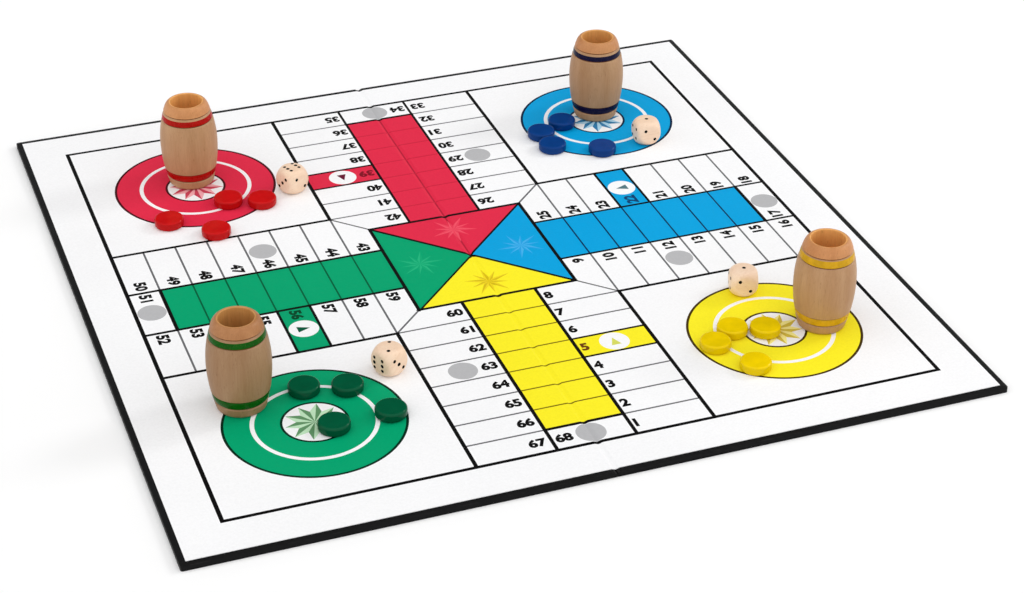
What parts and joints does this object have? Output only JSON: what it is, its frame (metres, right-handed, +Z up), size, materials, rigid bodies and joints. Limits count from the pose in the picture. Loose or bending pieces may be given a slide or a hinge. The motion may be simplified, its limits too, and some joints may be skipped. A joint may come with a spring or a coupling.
{
  "type": "folding ludo board with shakers, dice and counters",
  "caption": "Flat square board for a cross-shaped race game, folding in half along a paper crease, laid out with wooden dice shakers, dice and flat round counters.",
  "frame": {"origin": "middle of the open board, on its underside", "axes": "+Z up from the table through the printed face; Y along the fold, with -Y at the front edge of the picture; +X towards the leaf that folds over"},
  "size_m": [0.4, 0.4, 0.0515],
  "materials": {
    "greyboard": "raw greyboard, hidden inside the cover",
    "black_cover": "black grained covering paper",
    "printed_sheet": "white paper, printed in four colours, silk varnish",
    "turned_wood": "turned pale wood, clear lacquer, two painted bands",
    "die_wood": "pale wood, polished, black pips",
    "green_lacquer": "dark green gloss lacquer on wood",
    "yellow_lacquer": "ochre yellow gloss lacquer on wood",
    "blue_lacquer": "navy blue gloss lacquer on wood",
    "red_lacquer": "red gloss lacquer on wood"
  },
  "bodies": {
    "left_leaf": {"left_core": "greyboard", "left_cover": "black_cover", "left_print": "printed_sheet"},
    "right_leaf": {"right_core": "greyboard", "right_cover": "black_cover", "right_print": "printed_sheet"},
    "green_cup": {"green_cup": "turned_wood"},
    "green_die": {"green_die": "die_wood"},
    "green_counter_1": {"green_counter_1": "green_lacquer"},
    "green_counter_2": {"green_counter_2": "green_lacquer"},
    "green_counter_3": {"green_counter_3": "green_lacquer"},
    "green_counter_4": {"green_counter_4": "green_lacquer"},
    "yellow_cup": {"yellow_cup": "turned_wood"},
    "yellow_die": {"yellow_die": "die_wood"},
    "yellow_counter_1": {"yellow_counter_1": "yellow_lacquer"},
    "yellow_counter_2": {"yellow_counter_2": "yellow_lacquer"},
    "yellow_counter_3": {"yellow_counter_3": "yellow_lacquer"},
    "yellow_counter_4": {"yellow_counter_4": "yellow_lacquer"},
    "blue_cup": {"blue_cup": "turned_wood"},
    "blue_die": {"blue_die": "die_wood"},
    "blue_counter_1": {"blue_counter_1": "blue_lacquer"},
    "blue_counter_2": {"blue_counter_2": "blue_lacquer"},
    "blue_counter_3": {"blue_counter_3": "blue_lacquer"},
    "blue_counter_4": {"blue_counter_4": "blue_lacquer"},
    "red_cup": {"red_cup": "turned_wood"},
    "red_die": {"red_die": "die_wood"},
    "red_counter_1": {"red_counter_1": "red_lacquer"},
    "red_counter_2": {"red_counter_2": "red_lacquer"},
    "red_counter_3": {"red_counter_3": "red_lacquer"},
    "red_counter_4": {"red_counter_4": "red_lacquer"}
  },
  "joints": [
    {"name": "board_fold", "type": "hinge", "parent": "left_leaf", "child": "right_leaf", "pos_m": [0, 0, 0.0031], "axis": [0, -1, 0], "range_deg": [0, 180]},
    {"name": "green_cup_lift", "type": "slide", "parent": "left_leaf", "child": "green_cup", "axis": [0, 0, 1], "range_m": [0, 0.66]},
    {"name": "green_die_lift", "type": "slide", "parent": "green_cup", "child": "green_die", "axis": [0, 0, 1], "range_m": [0, 0.07]},
    {"name": "green_counter_1_lift", "type": "slide", "parent": "green_cup", "child": "green_counter_1", "axis": [0, 0, 1], "range_m": [0, 0.07]},
    {"name": "green_counter_2_lift", "type": "slide", "parent": "green_cup", "child": "green_counter_2", "axis": [0, 0, 1], "range_m": [0, 0.07]},
    {"name": "green_counter_3_lift", "type": "slide", "parent": "green_cup", "child": "green_counter_3", "axis": [0, 0, 1], "range_m": [0, 0.07]},
    {"name": "green_counter_4_lift", "type": "slide", "parent": "green_cup", "child": "green_counter_4", "axis": [0, 0, 1], "range_m": [0, 0.07]},
    {"name": "yellow_cup_lift", "type": "slide", "parent": "left_leaf", "child": "yellow_cup", "axis": [0, 0, 1], "range_m": [0, 0.66]},
    {"name": "yellow_die_lift", "type": "slide", "parent": "yellow_cup", "child": "yellow_die", "axis": [0, 0, 1], "range_m": [0, 0.07]},
    {"name": "yellow_counter_1_lift", "type": "slide", "parent": "yellow_cup", "child": "yellow_counter_1", "axis": [0, 0, 1], "range_m": [0, 0.07]},
    {"name": "yellow_counter_2_lift", "type": "slide", "parent": "yellow_cup", "child": "yellow_counter_2", "axis": [0, 0, 1], "range_m": [0, 0.07]},
    {"name": "yellow_counter_3_lift", "type": "slide", "parent": "yellow_cup", "child": "yellow_counter_3", "axis": [0, 0, 1], "range_m": [0, 0.07]},
    {"name": "yellow_counter_4_lift", "type": "slide", "parent": "yellow_cup", "child": "yellow_counter_4", "axis": [0, 0, 1], "range_m": [0, 0.07]},
    {"name": "blue_cup_lift", "type": "slide", "parent": "left_leaf", "child": "blue_cup", "axis": [0, 0, 1], "range_m": [0, 0.66]},
    {"name": "blue_die_lift", "type": "slide", "parent": "blue_cup", "child": "blue_die", "axis": [0, 0, 1], "range_m": [0, 0.07]},
    {"name": "blue_counter_1_lift", "type": "slide", "parent": "blue_cup", "child": "blue_counter_1", "axis": [0, 0, 1], "range_m": [0, 0.07]},
    {"name": "blue_counter_2_lift", "type": "slide", "parent": "blue_cup", "child": "blue_counter_2", "axis": [0, 0, 1], "range_m": [0, 0.07]},
    {"name": "blue_counter_3_lift", "type": "slide", "parent": "blue_cup", "child": "blue_counter_3", "axis": [0, 0, 1], "range_m": [0, 0.07]},
    {"name": "blue_counter_4_lift", "type": "slide", "parent": "blue_cup", "child": "blue_counter_4", "axis": [0, 0, 1], "range_m": [0, 0.07]},
    {"name": "red_cup_lift", "type": "slide", "parent": "left_leaf", "child": "red_cup", "axis": [0, 0, 1], "range_m": [0, 0.66]},
    {"name": "red_die_lift", "type": "slide", "parent": "red_cup", "child": "red_die", "axis": [0, 0, 1], "range_m": [0, 0.07]},
    {"name": "red_counter_1_lift", "type": "slide", "parent": "red_cup", "child": "red_counter_1", "axis": [0, 0, 1], "range_m": [0, 0.07]},
    {"name": "red_counter_2_lift", "type": "slide", "parent": "red_cup", "child": "red_counter_2", "axis": [0, 0, 1], "range_m": [0, 0.07]},
    {"name": "red_counter_3_lift", "type": "slide", "parent": "red_cup", "child": "red_counter_3", "axis": [0, 0, 1], "range_m": [0, 0.07]},
    {"name": "red_counter_4_lift", "type": "slide", "parent": "red_cup", "child": "red_counter_4", "axis": [0, 0, 1], "range_m": [0, 0.07]}
  ],
  "couplings": [
    {"joint": "green_cup_lift", "follows": "board_fold", "m_per_rad": 0.21},
    {"joint": "yellow_cup_lift", "follows": "board_fold", "m_per_rad": 0.21},
    {"joint": "blue_cup_lift", "follows": "board_fold", "m_per_rad": 0.21},
    {"joint": "red_cup_lift", "follows": "board_fold", "m_per_rad": 0.21}
  ]
}
